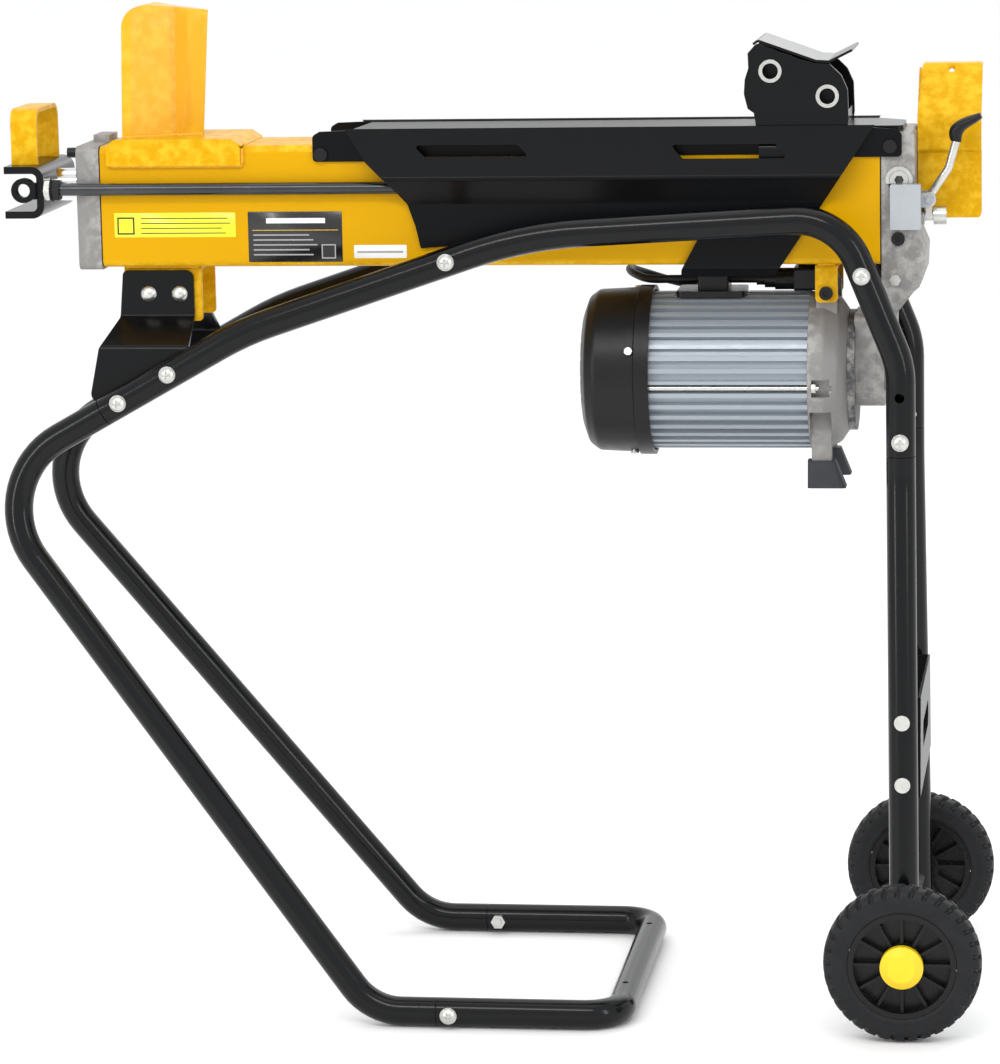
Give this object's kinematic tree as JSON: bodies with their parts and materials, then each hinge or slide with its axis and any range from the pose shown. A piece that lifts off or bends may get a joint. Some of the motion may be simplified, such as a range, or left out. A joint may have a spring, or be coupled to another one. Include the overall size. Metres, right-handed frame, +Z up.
{
  "type": "log splitter",
  "caption": "Horizontal electric hydraulic log splitter: tank beam, sliding pusher, fixed wedge, motor and pump below, tubular stand with a floor hoop and transport wheels.",
  "frame": {"origin": "floor level, below the middle of the overall bounding box", "axes": "+X along the beam from the wedge end to the valve end, +Y to the switch side, +Z up"},
  "size_m": [0.9529, 0.434, 0.9761],
  "materials": {
    "black_gloss": "gloss powder coat",
    "black_sheet": "gloss powder coat on folded sheet",
    "yellow_paint": "satin gloss paint",
    "cast_grey": "bare casting, lightly oiled",
    "dark_cast": "dark paint over casting",
    "plain_steel": "machined",
    "bright_rod": "bright drawn",
    "zinc": "bright zinc plate",
    "chrome": "hard chrome",
    "bronze": "machined bronze",
    "aluminium_fins": "painted silver-grey extrusion",
    "gasket": "pressed sheet",
    "black_screw": "black oxide",
    "black_plastic": "fine texture",
    "fan_plastic": "moulded",
    "rim_plastic": "moulded, dark grey",
    "yellow_plastic": "moulded",
    "green_plastic": "moulded",
    "red_plastic": "moulded",
    "foot_rubber": "moulded",
    "lead_rubber": "smooth sheath",
    "tyre": "moulded tread"
  },
  "bodies": {
    "frame": {"tank_beam": "yellow_paint", "tank_gaskets": "gasket", "front_cap": "cast_grey", "rod_bush": "bronze", "ram_cylinder": "plain_steel", "wedge_saddle": "yellow_paint", "splitting_wedge": "yellow_paint", "slide_rail": "black_gloss", "side_guards": "black_sheet", "cover_screws": "black_screw", "valve_body": "cast_grey", "port_block": "zinc", "oil_plugs": "zinc", "control_guard": "yellow_paint", "motor_housing": "aluminium_fins", "stator": "plain_steel", "rear_shield": "cast_grey", "fan_cover": "black_plastic", "drive_bell": "cast_grey", "tie_bolts": "zinc", "motor_feet": "foot_rubber", "motor_hanger": "yellow_paint", "terminal_boxes": "black_plastic", "motor_leads": "lead_rubber", "pump_body": "dark_cast", "pump_cover": "dark_cast", "switch_box": "black_plastic", "side_rails": "black_gloss", "front_legs": "black_gloss", "floor_hoop": "black_gloss", "wheel_legs": "black_gloss", "leg_brace": "black_sheet", "foot_channel": "yellow_paint", "foot_plates": "black_gloss", "frame_fasteners": "zinc", "axle": "zinc"},
    "ram": {"piston_rod": "chrome", "ram_yoke": "black_gloss", "pull_handle": "yellow_paint", "side_rods": "bright_rod", "ram_fasteners": "zinc", "pusher_cheeks": "black_gloss", "pusher_crossbars": "black_gloss", "pusher_face": "black_gloss", "pusher_cover": "black_gloss"},
    "lever": {"control_lever": "zinc", "lever_knob": "black_plastic"},
    "spool": {"valve_spool": "zinc"},
    "start": {"start_button": "green_plastic"},
    "stop": {"stop_button": "red_plastic"},
    "near_wheel": {"wheel_rim_near": "rim_plastic", "tyre_near": "tyre", "hub_cap_near": "yellow_plastic"},
    "far_wheel": {"wheel_rim_far": "rim_plastic", "tyre_far": "tyre", "hub_cap_far": "yellow_plastic"},
    "rotor": {"rotor": "plain_steel", "cooling_fan": "fan_plastic", "pump_drive_gear": "plain_steel"},
    "idler": {"pump_driven_gear": "plain_steel"}
  },
  "joints": [
    {"name": "ram_slide", "type": "slide", "parent": "frame", "child": "ram", "axis": [-1, 0, 0], "range_m": [0, 0.375]},
    {"name": "lever_swing", "type": "hinge", "parent": "frame", "child": "lever", "pos_m": [0.4215, -0.022, 0.783], "axis": [0, -1, 0], "range_deg": [0, 12], "stiffness_Nm_per_rad": 0.6},
    {"name": "spool_slide", "type": "slide", "parent": "frame", "child": "spool", "axis": [1, 0, 0], "range_m": [0, 0.0034]},
    {"name": "start_press", "type": "slide", "parent": "frame", "child": "start", "axis": [0, -1, 0], "range_m": [0, 0.004], "stiffness_N_per_m": 300},
    {"name": "stop_press", "type": "slide", "parent": "frame", "child": "stop", "axis": [0, -1, 0], "range_m": [0, 0.004], "stiffness_N_per_m": 300},
    {"name": "near_wheel_spin", "type": "hinge", "parent": "frame", "child": "near_wheel", "pos_m": [0.4013, -0.189, 0.075], "axis": [0, 1, 0], "continuous": true},
    {"name": "far_wheel_spin", "type": "hinge", "parent": "frame", "child": "far_wheel", "pos_m": [0.4013, 0.189, 0.075], "axis": [0, 1, 0], "continuous": true},
    {"name": "rotor_spin", "type": "hinge", "parent": "frame", "child": "rotor", "pos_m": [0.2, 0, 0.6154], "axis": [1, 0, 0], "continuous": true},
    {"name": "idler_spin", "type": "hinge", "parent": "frame", "child": "idler", "pos_m": [0.36, 0, 0.6414], "axis": [1, 0, 0], "continuous": true}
  ],
  "couplings": [
    {"joint": "spool_slide", "follows": "lever_swing", "m_per_rad": 0.016},
    {"joint": "idler_spin", "follows": "rotor_spin", "ratio": -1}
  ]
}
